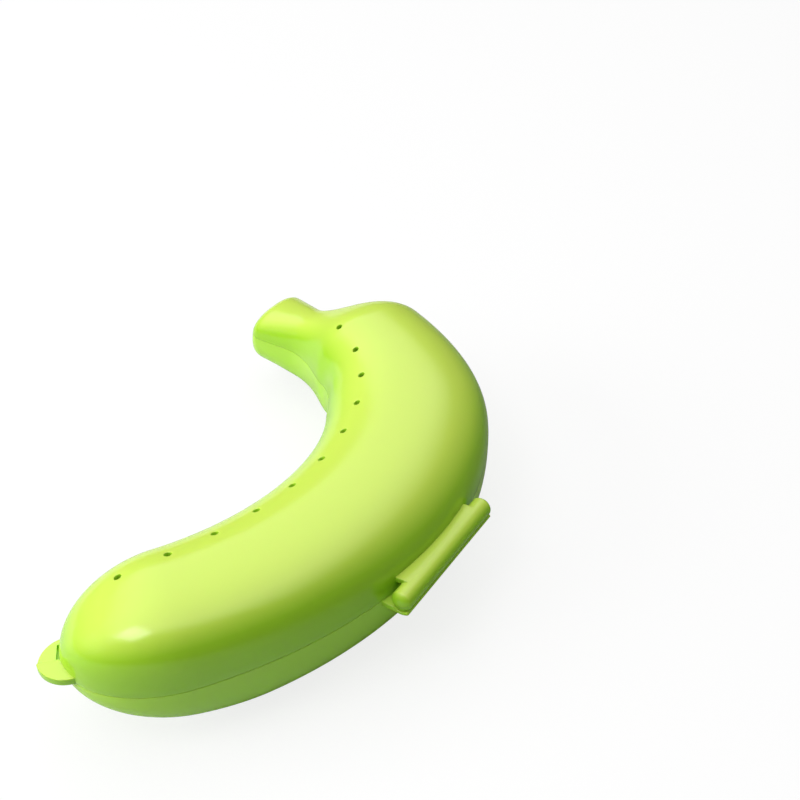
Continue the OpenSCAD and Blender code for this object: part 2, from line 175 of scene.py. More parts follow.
class CaseHinge(bpy.types.PropertyGroup):
    """Rod, web and trough on the outer curve."""

    at: length("Place", 102, "Distance of the hinge's middle from the tip")
    rod_r: length("Rod radius", 3.4, "Radius of the hinge rod")
    rod_len: length("Rod length", 51, "Length of the hinge rod over its domed ends")
    rod_dome: length("Dome", 1.9, "Height of the domes at the rod's ends")
    rod_off: length("Rod distance", 2.75, "Distance of the rod's axis from the wall")
    rod_rise: length("Rod rise", 2.35, "Height of the rod's axis above the parting plane")
    web_len: length("Web length", 38, "Length of the web that carries the rod")
    web_t: length("Web thickness", 1.8, "Thickness of the web")
    web_drop: length("Web drop", 0.4, "Depth of the web's upper face below the top of the rod")
    trough_t: length("Trough wall", 1.1, "Wall thickness of the trough")
    trough_len: length("Trough length", 49.4, "Length of the trough")
    trough_drop: length("Trough drop", 0.3, "Depth of the trough's plate below the rim of the base")
    rod_play: length("Rod play", 0.05, "Radial play of the rod in the trough")
    lip_below: ratio("Lip angle", 48, "How far below the level of the rod's axis the lip ends, in degrees")
    edge: length("Edges", 0.3, "Rounding of the hinge's edges")


class CaseLatch(bpy.types.PropertyGroup):
    """Hook and strap on the inner curve."""

    at: length("Place", 103, "Distance of the latch's middle from the tip")
    hook_w: length("Hook width", 8.4, "Width of the hook")
    hook_t: length("Hook thickness", 1.2, "Thickness of the hook's arm")
    hook_up: length("Hook up", 5.2, "Reach of the hook above the parting plane")
    hook_down: length("Hook down", 5.4, "Reach of the hook below the parting plane")
    nose_out: length("Nose", 0.6, "How far the nose stands out from the arm")
    nose_h: length("Nose height", 1.4, "Height of the nose")
    hook_gap: length("Hook gap", 0.5, "Clearance around the hook")
    strap_len: length("Strap length", 18, "Length of the strap")
    strap_t: length("Strap thickness", 1.6, "Thickness of the strap's bar")
    strap_h: length("Strap height", 3.2, "Height of the strap")
    strap_gap: length("Strap gap", 0.9, "Gap between the strap's bar and the wall behind it")
    edge: length("Edges", 0.25, "Rounding of the strap's edges")
    hook_edge: length("Hook edges", 0.15, "Rounding of the hook's edges")


class CaseEnds(bpy.types.PropertyGroup):
    """Lugs at the tip and tongue at the stem."""

    lug_r: length("Lug radius", 9, "Radius of the round that the two lugs make together")
    lug_t: length("Lug thickness", 2.4, "Thickness of each lug")
    lug_in: length("Lug inset", 3, "Distance of the round's middle behind the end of the tip")
    lug_side: length("Lug side", 3, "Distance of the round's middle from the centre line")
    lug_split: length("Split", 1.5, "Distance of the split between the lugs from the round's middle")
    split_w: length("Split width", 0.3, "Width of the split")
    slot_w: length("Slot width", 1, "Width of the blind slot in the base's lug, along the wall")
    slot_deep: length("Slot depth", 1.4, "Depth of the slot")
    slot_len: length("Slot length", 5.4, "Length of the slot")
    slot_side: length("Slot side", 0.8, "Distance of the slot's near end from the round's middle")
    lug_edge: length("Lug edges", 0.3, "Rounding of the lugs' edges")
    lug_corner: length("Lug corners", 0.6, "Rounding of the lugs' corners, seen from above")
    tongue_w: length("Tongue width", 11.8, "Width of the tongue at its foot")
    tongue_h: length("Tongue height", 4, "Height of the tongue")
    tongue_lean: length("Tongue lean", 1, "Distance of the tongue's point from the middle")
    tongue_gap: length("Tongue gap", 0.4, "Clearance between the tongue and its notch")


class CaseLook(bpy.types.PropertyGroup):
    """Colours and finish of the plastic, with painted shade on its steep faces."""

    lid: colour("Lid", (0.60, 0.805, 0.10), "Colour of the lid where it is level")
    base: colour("Base", (0.60, 0.86, 0.10), "Colour of the base where it is level")
    # Painted shade: on steep faces the colours above grow darker by these shares, between the slants steep
    # and level, standing in for the shade on walls that turn from the light overhead
    lid_painted_shade: ratio("Lid depth", 0.75, "How much deeper the lid's colour is where it is steep")
    base_painted_shade: ratio("Base depth", 0.4, "How much deeper the base's colour is where it is steep")
    roughness: ratio("Roughness", 0.18, "Roughness of the moulded surface")
    grain: length("Grain", 0.35, "Size of the moulded grain")
    steep: ratio("Steep", 0.5, "Upward slant of the faces that have the deepest tone, 1 for level faces")
    level: ratio("Level", 0.9, "Upward slant of the faces that have the palest tone")


class CaseStage(bpy.types.PropertyGroup):
    """Floor, lights and camera."""

    floor: colour("Floor", (0.50, 0.66, 0.25), "Colour of the light that the floor throws back at the case")
    mirrored: ratio("Mirrored floor", 0.65, "Tone of the floor that the plastic mirrors, left of the middle")
    mirrored_right: ratio("Mirrored right", 0.1, "Tone of the floor that the plastic mirrors on the right")
    fade: length("Fade", 120, "Distance to the right over which the one tone goes over into the other")
    white: ratio("White floor", 0.95, "Tone of the floor that the camera sees")
    glow: ratio("Floor glow", 0.82, "Share of plain white in the floor that the camera sees")
    floor_size: length("Floor size", 6000, "Side of the square floor")
    camera: bpy.props.FloatVectorProperty(
        name="Camera", description="Place of the camera", size=3, unit="LENGTH",
        default=(0.22666, 0.18977, 0.29371),
    )
    look: bpy.props.FloatVectorProperty(
        name="View", description="Direction in which the camera looks", size=3,
        default=(-0.66147, -0.41956, -0.62170),
    )
    lens: bpy.props.FloatProperty(name="Lens", description="Focal length in millimetres", default=55.03)
    ceiling: ratio("Ceiling light", 1.09, "Power of each panel overhead, in watts for a square metre")
    key: ratio("Key light", 2.4, "Power of the small soft light over the tip, in watts")
    side: ratio("Side light", 9.0, "Power of the light from the left, in watts")
    world: ratio("World", 0.08, "Strength of the light from all round")


class CaseSettings(bpy.types.PropertyGroup):
    """All sizes and colours of the case."""

    line: bpy.props.PointerProperty(type=CaseLine)
    section: bpy.props.PointerProperty(type=CaseSection)
    vents: bpy.props.PointerProperty(type=CaseVents)
    hinge: bpy.props.PointerProperty(type=CaseHinge)
    latch: bpy.props.PointerProperty(type=CaseLatch)
    ends: bpy.props.PointerProperty(type=CaseEnds)
    look: bpy.props.PointerProperty(type=CaseLook)
    stage: bpy.props.PointerProperty(type=CaseStage)


def plain(group):
    """The values of a property group as plain numbers."""
    return SimpleNamespace(**{name: getattr(group, name) for name in group.__annotations__})


def clamp01(t):
    """The nearest value from 0 to 1."""
    return max(0.0, min(1.0, t))


def ease(t):
    """Goes smoothly from 0 to 1."""
    c = clamp01(t)
    return c * c * (3 - 2 * c)


def through3(a, b, c, t):
    """A value that runs smoothly through three values at 0, 0.5 and 1."""
    return a * (1 - t) * (1 - 2 * t) + b * 4 * t * (1 - t) + c * t * (2 * t - 1)


def half_section(w, h, foot, squares, rim):
    """Points across half a section as (sideways, rise), with the rims rounded off."""
    tall = max(h - foot, TINY)
    r = min(rim, RIM_MOST * tall, RIM_MOST * max(w, TINY))
    sides = []
    for square in squares:
        side = []
        for j in range(RIM_STEPS):
            t = math.pi / 2 * j / RIM_STEPS
            rise = r * (1 - math.cos(t))
            n = w * (1 - (rise / tall) ** square) ** (1 / square) - r * (1 - math.sin(t))
            side.append((n, foot + rise))
        first = math.asin((r / tall) ** (square / 2))
        for k in range(ARC_STEPS + 1):
            a = first + (math.pi / 2 - first) * k / ARC_STEPS
            across = max(math.cos(a), 0.0) ** (2 / square)
            side.append((w * across, foot + tall * math.sin(a) ** (2 / square)))
        sides.append(side)
    return sides[0] + [(-n, rise) for n, rise in reversed(sides[1][:-1])]


class CaseForm:
    """Centre line and sections: u runs from the tip, n from the centre line towards the inner curve."""

    def __init__(self, case):
        self.line, self.section = plain(case.line), plain(case.section)
        self.hinge, self.latch = plain(case.hinge), plain(case.latch)
        self.vents, self.ends = plain(case.vents), plain(case.ends)
        line = self.line
        self.total = line.body_len + line.neck_len + line.stem_len
        self.parting = self.section.lower_h
        self.foot = self.section.parting_gap / 2
        self.path = [Vector((0, 0, 0))]
        for i in range(math.ceil(self.total / line.step) + 2):
            turn = self.bend((i + 0.5) * line.step) * line.step
            mid = self.path[-1].z + turn / 2
            ahead = Vector((line.step * math.cos(mid), line.step * math.sin(mid), turn))
            self.path.append(self.path[-1] + ahead)
        self.start = self.path_at(self.hinge.at)
        self.turn = math.pi - self.start.z
        self.axis = Vector(JOINTS["lid_hinge"]["pos_m"])
        out = self.half_w(self.hinge.at) + self.hinge.rod_off
        self.middle = Vector((-self.axis.x, out - self.axis.y))

    def in_neck(self, u):
        return ease((u - self.line.body_len) / self.line.neck_len)

    def in_flare(self, u):
        return ease((u - self.total) / self.section.flare_len + 1)

    def in_lean(self, u):
        return ease((u - self.total) / self.section.lean_len + 1)

    def bend(self, u):
        line = self.line
        bends = (1 / line.bend_tip, 1 / line.bend_mid, 1 / line.bend_neck)
        body = through3(*bends, clamp01(u / line.body_len))
        return body + (1 / line.bend_stem - bends[2]) * self.in_neck(u)

    def path_at(self, u):
        i = int(u / self.line.step)
        return self.path[i].lerp(self.path[i + 1], u / self.line.step - i)

    def heading(self, u):
        return self.path_at(u).z + self.turn

    def place(self, u, n):
        """Point of the plan at u and n."""
        d = (self.path_at(u) - self.start).xy
        h = self.heading(u)
        c, s = math.cos(self.turn), math.sin(self.turn)
        x = c * d.x - s * d.y - n * math.sin(h)
        y = s * d.x + c * d.y + n * math.cos(h)
        return Vector((x, y)) - self.middle

    def at(self, u, n):
        """Frame at u and n on the parting plane: X along the centre line, Y towards the inner curve."""
        p = self.place(u, n)
        return Matrix.Translation((p.x, p.y, self.parting)) @ Matrix.Rotation(self.heading(u), 4, "Z")

    def tip_cap(self, u):
        return math.sqrt(1 - (1 - clamp01(u / self.section.tip_round)) ** 2)

    def rise_cap(self, u):
        full = self.section.tip_rise_full
        return (1 - (1 - clamp01(u / self.section.tip_rise)) ** full) ** (1 / full)

    def end_cap(self, u):
        s = 1 - clamp01((self.total - u) / self.section.stem_round)
        return 1 - (1 - self.section.stem_face_w / self.section.stem_w) * (1 - math.sqrt(1 - s * s))

    def along(self, u, body, waist, stem):
        """A size that goes from the body's to the waist's and on to the stem's."""
        return body + (waist - body) * self.in_neck(u) + (stem - waist) * self.in_flare(u)

    def half_w(self, u):
        s, line = self.section, self.line
        body = s.tip_w + (s.body_w - s.tip_w) * ease(u / s.widest_at)
        body += (s.neck_w - s.body_w) * ease((u - s.widest_at) / (line.body_len - s.widest_at))
        full = body + (s.waist_w - s.neck_w) * self.in_neck(u) + (s.stem_w - s.waist_w) * self.in_flare(u)
        return self.tip_cap(u) * self.end_cap(u) * full / 2

    def shift(self, u):
        return self.along(u, 0, self.line.waist_shift, self.line.stem_shift)

    def height(self, u, way):
        """Height of the lid or depth of the base at u."""
        s = self.section
        up = self.along(u, s.upper_h, s.waist_up, s.stem_up)
        low = self.along(u, s.lower_h + s.flat_cut, s.waist_down, s.stem_down)
        mid = (up - low) / 2
        if way == LID:
            return self.tip_cap(u) * (mid + (up - mid) * self.end_cap(u))
        return self.rise_cap(u) * ((low + mid) * self.end_cap(u) - mid)

    def squares(self, way, u):
        """Squareness of the section at u towards the inner and the outer curve."""
        s = self.section
        if way == BASE:
            return s.lower_square, s.lower_square
        fade = ease(u / self.line.body_len)
        return s.upper_square, s.outer_square + (s.upper_square - s.outer_square) * fade

    def ring(self, u, way, inside=False, foot=None, grow=0.0, shrink=1.0):
        """Half a section of the lid or the base as points."""
        s = self.section
        foot = self.foot if foot is None else foot
        if inside:
            u = s.wall + u * (self.total - 2 * s.wall) / self.total
            grow = -s.wall
        h = self.height(u, way) + grow
        if inside and way == BASE:
            h -= s.flat_cut
        w = self.half_w(u) + grow
        heading, lean, shift = self.heading(u), s.stem_lean * self.in_lean(u), self.shift(u)
        forward = Vector((math.cos(heading), math.sin(heading)))
        rim = s.inner_rim if inside else s.rim
        points = []
        for n, rise in half_section(w, h, foot, self.squares(way, u), rim):
            up = way * (foot + (rise - foot) * shrink)
            p = self.place(u, shift + n * shrink) - lean * up * forward
            points.append(Vector((p.x, p.y, self.parting + up)))
        return points

    def rows(self, start=0.0):
        """Places of the sections as (u, shrink), close together in the rounded ends."""
        s = self.section
        tip = [s.tip_round * (i / TIP_ROWS) ** 2 for i in range(TIP_ROWS)]
        run = self.total - s.stem_round - s.tip_round
        count = round(run / BODY_ROW)
        body = [s.tip_round + run * i / count for i in range(count)]
        turns = [math.pi / 2 * i / END_ROWS for i in range(END_ROWS + 1)]
        end = [self.total - s.stem_round * (1 - math.sin(t)) for t in turns]
        cap = [(self.total, 1 - i / CAP_ROWS) for i in range(1, CAP_ROWS + 1)]
        return [(u, 1.0) for u in tip + body + end if u >= start] + cap

    def shell(self, way, start=0.0, foot=None):
        """Closed mesh of the lid or the base: an outer and an inner skin that meet along the rim."""
        rows = self.rows(start)
        inner = list(rows)
        if start == 0:
            inner[:CAP_ROWS] = [(0.0, i / CAP_ROWS) for i in range(CAP_ROWS)]
        rings = []
        for (u, shrink), (inner_u, inner_shrink) in zip(rows, inner):
            outside = self.ring(u, way, foot=foot, shrink=shrink)
            inside = self.ring(inner_u, way, inside=True, foot=foot, shrink=inner_shrink)
            rings.append(outside + inside[::-1])
        return sleeve(rings)

    def core(self, last, grow):
        """Solid stretch of the whole case from the tip to the last u, grown or shrunk all round."""
        rings = []
        for u, _ in self.rows():
            if u <= last:
                rings.append(self.ring(u, LID, grow=grow) + self.ring(u, BASE, grow=grow)[::-1])
        return sleeve(rings)

    def outer_wall(self, x, z):
        """The y of the outer wall at x and z, beside the hinge."""
        way = LID if z >= self.parting else BASE
        rise = max(abs(z - self.parting) - self.foot, 0)
        low, high = self.hinge.at - self.hinge.rod_len, self.hinge.at + self.hinge.rod_len
        for _ in range(SEARCH_STEPS):
            u = (low + high) / 2
            square = self.squares(way, u)[1]
            tall = self.height(u, way) - self.foot
            across = (1 - (rise / tall) ** square) ** (1 / square)
            p = self.place(u, self.shift(u) - self.half_w(u) * across)
            low, high = (u, high) if p.x > x else (low, u)
        return p.y

    def lid_top(self, u, n):
        """Height of the lid's outer face above the parting plane at u and n."""
        w, h, side = self.half_w(u), self.height(u, LID), n - self.shift(u)
        square = self.squares(LID, u)[0 if side >= 0 else 1]
        share = min(1.0, abs(side / w))
        return self.foot + (h - self.foot) * (1 - share ** square) ** (1 / square)

    def vent_places(self):
        """Places of the vent holes as (u, n), in equal steps along their own row."""
        v = self.vents

        def side(u):
            return through3(v.side_tip, v.side_mid, v.side_neck, u / self.line.body_len)

        def half_step(u):
            return u + v.pitch / 2 / (1 - self.bend(u) * side(u))

        u = v.first
        places = []
        for _ in range(v.count):
            places.append((u, side(u)))
            u = half_step(half_step(u))
        return places


def loft(bm, rows):
    """Lays a grid over rows of points."""
    along, across = len(rows) - 1, len(rows[0]) - 1
    for v in bmesh.ops.create_grid(bm, x_segments=along, y_segments=across, size=1.0)["verts"]:
        v.co = rows[round((v.co.x + 1) / 2 * along)][round((v.co.y + 1) / 2 * across)]


def close_ends(bm):
    """Fills the open ends of a mesh and turns its faces outwards."""
    bmesh.ops.holes_fill(bm, edges=[e for e in bm.edges if e.is_boundary], sides=0)
    bmesh.ops.recalc_face_normals(bm, faces=bm.faces)


def sleeve(rings):
    """Closed solid through rings of points, with a flat face at each end."""
    bm = bmesh.new()
    loft(bm, [ring + ring[:1] for ring in rings])
    bmesh.ops.remove_doubles(bm, verts=bm.verts, dist=WELD)
    close_ends(bm)
    return bm


def soften(bm, width, least=35):
    """Rounds the edges whose faces turn by more than the least angle, in degrees."""
    sharp = [e for e in bm.edges if e.is_manifold and e.calc_face_angle() > math.radians(least)]
    bmesh.ops.bevel(
        bm, geom=sharp, offset=width, offset_type="OFFSET", segments=EDGE_STEPS,
        profile=0.5, affect="EDGES", material=-1,
    )


def spun(profile, sides):
    """Solid made by spinning a profile of (along, radius) round the X axis."""
    bm = bmesh.new()
    verts = [bm.verts.new((x, 0, r)) for x, r in profile]
    edges = [bm.edges.new(pair) for pair in zip(verts, verts[1:])]
    bmesh.ops.spin(
        bm, geom=verts + edges, cent=(0, 0, 0), axis=(1, 0, 0),
        angle=2 * math.pi, steps=sides, use_merge=True,
    )
    bmesh.ops.remove_doubles(bm, verts=bm.verts, dist=WELD)
    bmesh.ops.recalc_face_normals(bm, faces=bm.faces)
    return bm


def brick(bm, low, high):
    """A block between two corners."""
    made = bmesh.ops.create_cube(bm, size=1.0)["verts"]
    size = [b - a for a, b in zip(low, high)]
    bmesh.ops.scale(bm, vec=size, verts=made)
    bmesh.ops.translate(bm, vec=[(a + b) / 2 for a, b in zip(low, high)], verts=made)
    return made


def to_object(name, bm):
    """Makes an object of a bmesh and frees the bmesh."""
    mesh = bpy.data.meshes.new(name)
    bm.to_mesh(mesh)
    bm.free()
    piece = bpy.data.objects.new(name, mesh)
    bpy.context.scene.collection.objects.link(piece)
    return piece


def carve(piece, bm, operation="DIFFERENCE"):
    """Cuts a piece with a solid, or keeps what they share."""
    tool = to_object(piece.name + "_tool", bm)
    cut = piece.modifiers.new("carve", "BOOLEAN")
    cut.operation, cut.solver, cut.object = operation, "MANIFOLD", tool
    bpy.context.view_layer.update()
    old = piece.data
    result = bpy.data.meshes.new_from_object(piece.evaluated_get(bpy.context.evaluated_depsgraph_get()))
    piece.modifiers.clear()
    piece.data = result
    result.name = piece.name
    bpy.data.meshes.remove(old)
    bpy.data.meshes.remove(tool.data)
    if not result.polygons:
        raise RuntimeError(piece.name + " has nothing left after the cut")


def finish_piece(piece, node, body, slot, crease=32):
    """Shades a piece smooth up to a crease angle in degrees, gives it its plastic and ties it to the CAD."""
    piece.data.shade_smooth()
    piece.data.set_sharp_from_angle(angle=math.radians(crease))
    piece.data.materials.clear()
    piece.data.materials.append(PLASTICS[slot](bpy.context.scene.banana_case.look))
    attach(piece, body)
    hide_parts(node)


class Wire:
    """A shader value: expressions on it add Math nodes."""

    def __init__(self, net, socket):
        self.net, self.socket = net, socket

    def math(self, operation, first, second):
        return self.net.wire("ShaderNodeMath", "Value", {"operation": operation}, {0: first, 1: second})

    def __add__(self, other):
        return self.math("ADD", self, other)

    def __radd__(self, other):
        return self.math("ADD", other, self)

    def __sub__(self, other):
        return self.math("SUBTRACT", self, other)

    def __rsub__(self, other):
        return self.math("SUBTRACT", other, self)

    def __mul__(self, other):
        return self.math("MULTIPLY", self, other)

    def __rmul__(self, other):
        return self.math("MULTIPLY", other, self)


class Net:
    """The nodes of one material or of the world."""

    def __init__(self, owner):
        owner.use_nodes = True
        self.tree = owner.node_tree
        self.tree.nodes.clear()

    def node(self, kind, settings=None, sockets=None):
        """Adds a node, with its settings first and then the values or links of its sockets."""
        made = self.tree.nodes.new(kind)
        for key, value in (settings or {}).items():
            if key == "stops":
                for stop, (place, tint) in zip(made.color_ramp.elements, value):
                    stop.position, stop.color = place, tint
            else:
                setattr(made, key, value)
        for key, value in (sockets or {}).items():
            if isinstance(value, Wire):
                self.tree.links.new(value.socket, made.inputs[key])
            else:
                made.inputs[key].default_value = value
        return made

    def wire(self, kind, output, settings=None, sockets=None):
        """Adds a node and gives one of its outputs."""
        return Wire(self, self.node(kind, settings, sockets).outputs[output])

    def noise(self, where, **sockets):
        """Noise from 0 to 1."""
        return self.wire("ShaderNodeTexNoise", "Fac", None, {"Vector": where, **sockets})

    def rays(self, *names):
        """Outputs of a Light Path node, which are 1 for a ray of their kind and otherwise 0."""
        path = self.node("ShaderNodeLightPath")
        return [Wire(self, path.outputs[name]) for name in names]


def grey(v):
    """A grey from 0 for black to 1 for white."""
    return (v, v, v, 1.0)


# Shares of its red, green and blue that the plastic's tone loses where it is steep: painted shade for the
# walls that turn away from the light overhead
PAINTED_SHADE_SHARES = (0.50, 0.23, 0.94)
# How far the clouds change the tone, and the clouds, the grain and the scuffs the roughness
CLOUD_TONE = 0.12
CLOUD_ROUGH, GRAIN_ROUGH, SCUFF_ROUGH = 0.10, 0.05, 0.06
# Height of the clouds in the bump, where the grain's height is 1
CLOUD_BUMP = 2.0


def moulded_plastic(name, tint, depth, look):
    """Satin moulded plastic with faint clouds in its colour, painted shade on its steep faces, fine grain,
    scuffs and uneven gloss.
    """
    old = bpy.data.materials.get(name)
    if old:
        return old
    material = bpy.data.materials.new(name)
    net = Net(material)
    where = net.wire("ShaderNodeTexCoord", "Object")
    cloud = net.noise(where, Scale=38.0, Detail=3.0)
    grain = net.noise(where, Scale=0.6 / look.grain, Detail=2.0)
    specks = net.noise(where, Scale=900.0, Detail=4.0, Roughness=0.7, Distortion=0.4)
    scuffs = net.wire(
        "ShaderNodeValToRGB", "Color", {"stops": [(0.62, grey(0)), (0.75, grey(1))]}, {"Fac": specks}
    )
    # Painted shade: the tone goes from the level colour to a darker, deeper one as the face turns from up to
    # steep, standing in for the shade on the walls
    facing = net.wire("ShaderNodeTexCoord", "Normal")
    slant = net.wire("ShaderNodeSeparateXYZ", "Z", None, {"Vector": facing})
    deep = [c * (1 - depth * k) for c, k in zip(tint, PAINTED_SHADE_SHARES)] + [1.0]
    shade = net.wire(
        "ShaderNodeValToRGB", "Color", {"stops": [(0.0, deep), (1.0, [*tint, 1.0])]},
        {"Fac": (slant - look.steep) * (1 / (look.level - look.steep)) + (cloud - 0.5) * CLOUD_TONE},
    )
    rough = look.roughness + (cloud - 0.5) * CLOUD_ROUGH + (grain - 0.5) * GRAIN_ROUGH + scuffs * SCUFF_ROUGH
    bump = net.wire(
        "ShaderNodeBump", "Normal", None,
        {"Strength": 0.10, "Distance": 0.05 * MM, "Height": grain + cloud * CLOUD_BUMP},
    )
    shader = net.wire(
        "ShaderNodeBsdfPrincipled", "BSDF", None,
        {
            "Base Color": shade,
            "Roughness": rough,
            "Normal": bump,
            "IOR": 1.58,
            "Subsurface Weight": 0.12,
            "Subsurface Radius": (0.6, 1.0, 0.2),
            "Subsurface Scale": 3.0 * MM,
        },
    )
    net.node("ShaderNodeOutputMaterial", None, {"Surface": shader})
    return material


def lid_plastic(look):
    return moulded_plastic("lime_lid_plastic", look.lid, look.lid_painted_shade, look)


def base_plastic(look):
    return moulded_plastic("lime_base_plastic", look.base, look.base_painted_shade, look)


PLASTICS = {"lid_plastic": lid_plastic, "base_plastic": base_plastic}


def notch_block(form, bm, up, down):
    """The opening for the hook in the lid or the base, in the latch frame."""
    latch = form.latch
    half = latch.hook_w / 2 + latch.hook_gap
    reach = THROUGH * form.section.wall
    made = brick(bm, (-half, -reach, -down), (half, reach, up))
    bmesh.ops.transform(bm, matrix=form.at(latch.at, form.half_w(latch.at)), verts=made)


def tongue_prism(form, gap):
    """Wedge at the end of the stem that the tongue fills, wider all round by a gap."""
    ends = form.ends
    half = ends.tongue_w / 2 + gap
    point = (-ends.tongue_lean, ends.tongue_h + gap)
    outline = [(-half, -OVER), (half, -OVER), (half, 0), point, (-half, 0)]
    spot = form.at(form.total, form.shift(form.total))
    return sleeve([[spot @ Vector((x, y, z)) for y, z in outline] for x in (-OVER, OVER)])


def add_vent_cutter(form, tools, u, n):
    """Adds the solid that bores one vent hole, square to the lid's face and flared at its top."""
    d = SLOPE_REACH
    slope_u = (form.lid_top(u + d, n) - form.lid_top(u - d, n)) / (2 * d)
    slope_n = (form.lid_top(u, n + d) - form.lid_top(u, n - d)) / (2 * d)
    seat = form.at(u, n) @ Matrix.Translation((0, 0, form.lid_top(u, n)))
    lean = Vector((-slope_u, -slope_n, 1)).to_track_quat("X", "Z").to_matrix().to_4x4()
    r, soft, deep = form.vents.bore / 2, form.vents.flare, THROUGH * form.section.wall
    profile = [(-deep, 0), (-deep, r)]
    for k in range(ROUND_STEPS + 1):
        t = math.pi / 2 * k / ROUND_STEPS
        profile.append((-soft * (1 - math.sin(t)), r + soft * (1 - math.cos(t))))
    profile += [(soft, r + soft), (soft, 0)]
    hole = spun(profile, VENT_SIDES)
    bmesh.ops.transform(hole, matrix=seat @ lean, verts=hole.verts)
    mesh = bpy.data.meshes.new("vent_cutter")
    hole.to_mesh(mesh)
    hole.free()
    tools.from_mesh(mesh)
    bpy.data.meshes.remove(mesh)


class CASE_OT_lid_shell(bpy.types.Operator):
    """Upper half of the case, with its vents, the opening for the hook and the notch for the tongue"""

    bl_idname = "banana_case.lid_shell"
    bl_label = "Lid shell"

    def execute(self, context):
        form = CaseForm(context.scene.banana_case)
        latch = form.latch
        piece = to_object("lid_shell", form.shell(LID))
        tools = bmesh.new()
        for u, n in form.vent_places():
            add_vent_cutter(form, tools, u, n)
        notch_block(form, tools, latch.hook_up + latch.hook_gap, OVER)
        carve(piece, tools)
        carve(piece, tongue_prism(form, form.ends.tongue_gap))
        finish_piece(piece, "upper_shell", "lid", "lid_plastic")
        return {"FINISHED"}


class CASE_OT_base_shell(bpy.types.Operator):
    """Lower half of the case, with the flat strip that it lies on and the opening for the hook"""

    bl_idname = "banana_case.base_shell"
    bl_label = "Base shell"

    def execute(self, context):
        form = CaseForm(context.scene.banana_case)
        latch = form.latch
        bm = form.shell(BASE)
        everything = bm.verts[:] + bm.edges[:] + bm.faces[:]
        bmesh.ops.bisect_plane(bm, geom=everything, plane_co=(0, 0, 0), plane_no=UP, clear_inner=True)
        close_ends(bm)
        piece = to_object("base_shell", bm)
        tools = bmesh.new()
        notch_block(form, tools, OVER, latch.hook_down + latch.hook_gap)
        carve(piece, tools)
        finish_piece(piece, "lower_shell", "base", "base_plastic", crease=15)
        return {"FINISHED"}


class CASE_OT_stem_tongue(bpy.types.Operator):
    """Pointed tongue at the end of the stem"""

    bl_idname = "banana_case.stem_tongue"
    bl_label = "Stem tongue"

    def execute(self, context):
        form = CaseForm(context.scene.banana_case)
        start = form.total - 2 * form.section.stem_round
        piece = to_object("stem_tongue_piece", form.shell(LID, start, -form.foot))
        carve(piece, tongue_prism(form, 0.0), "INTERSECT")
        finish_piece(piece, "stem_tongue", "base", "base_plastic")
        return {"FINISHED"}


class CASE_OT_hinge_rod(bpy.types.Operator):
    """Round rod with domed ends"""

    bl_idname = "banana_case.hinge_rod"
    bl_label = "Hinge rod"

    def execute(self, context):
        form = CaseForm(context.scene.banana_case)
        hinge = form.hinge
        ball = (hinge.rod_dome ** 2 + hinge.rod_r ** 2) / (2 * hinge.rod_dome)
        most = math.asin(hinge.rod_r / ball)
        half = hinge.rod_len / 2
        turns = [most * k / DOME_STEPS for k in range(DOME_STEPS + 1)]
        dome = [(half - ball * (1 - math.cos(t)), ball * math.sin(t)) for t in turns]
        bm = spun(dome + [(-x, r) for x, r in reversed(dome)], ROD_SIDES)
        soften(bm, hinge.edge, least=20)
        bmesh.ops.translate(bm, vec=form.axis, verts=bm.verts)
        piece = to_object("hinge_rod_piece", bm)
        finish_piece(piece, "hinge_rod", "lid", "lid_plastic")
        return {"FINISHED"}


class CASE_OT_hinge_web(bpy.types.Operator):
    """Web between the lid's wall and the rod's crest"""

    bl_idname = "banana_case.hinge_web"
    bl_label = "Hinge web"

    def execute(self, context):
        form = CaseForm(context.scene.banana_case)
        hinge, axis = form.hinge, form.axis
        crest = axis.z + hinge.rod_r - CREST_DIP
        low = crest - hinge.web_drop - hinge.web_t
        rings = []
        for i in range(HINGE_ROWS + 1):
            x = axis.x + hinge.web_len * (i / HINGE_ROWS - 0.5)
            wall = form.outer_wall(x, crest - hinge.web_drop) - SEAT
            ring = []
            for k in range(WEB_STEPS + 1):
                t = 1 - k / WEB_STEPS
                ring.append(Vector((x, axis.y + (wall - axis.y) * t, crest - hinge.web_drop * t * t)))
            ring += [Vector((x, axis.y, low)), Vector((x, form.outer_wall(x, low) - SEAT, low))]
            rings.append(ring)
        bm = sleeve(rings)
        soften(bm, hinge.edge)
        piece = to_object("hinge_web_piece", bm)
        finish_piece(piece, "hinge_web", "lid", "lid_plastic")
        return {"FINISHED"}


class CASE_OT_hinge_trough(bpy.types.Operator):
    """Open trough that cradles the rod, on a plate that stands out from the base's rim"""

    bl_idname = "banana_case.hinge_trough"
    bl_label = "Hinge trough"

    def execute(self, context):
        form = CaseForm(context.scene.banana_case)
        hinge, axis = form.hinge, form.axis
        bed = hinge.rod_r + hinge.rod_play
        out = bed + hinge.trough_t
        brim = -hinge.rod_rise - form.foot - hinge.trough_drop
        lip, inner = -math.radians(hinge.lip_below), -math.pi - math.asin(brim / bed)

        def arc(last):
            return [lip + (last - lip) * k / TROUGH_STEPS for k in range(TROUGH_STEPS + 1)]

        rings = []
        for i in range(HINGE_ROWS + 1):
            x = axis.x + hinge.trough_len * (i / HINGE_ROWS - 0.5)
            around = [(out * math.cos(a), out * math.sin(a)) for a in arc(-math.pi / 2)]
            for rise in (-out, brim):
                around.append((form.outer_wall(x, axis.z + rise) - SEAT - axis.y, rise))
            around += [(bed * math.cos(a), bed * math.sin(a)) for a in reversed(arc(inner))]
            rings.append([axis + Vector((x - axis.x, y, z)) for y, z in around])
        bm = sleeve(rings)
        soften(bm, hinge.edge, least=50)
        piece = to_object("hinge_trough_piece", bm)
        finish_piece(piece, "hinge_trough", "base", "base_plastic")
        return {"FINISHED"}


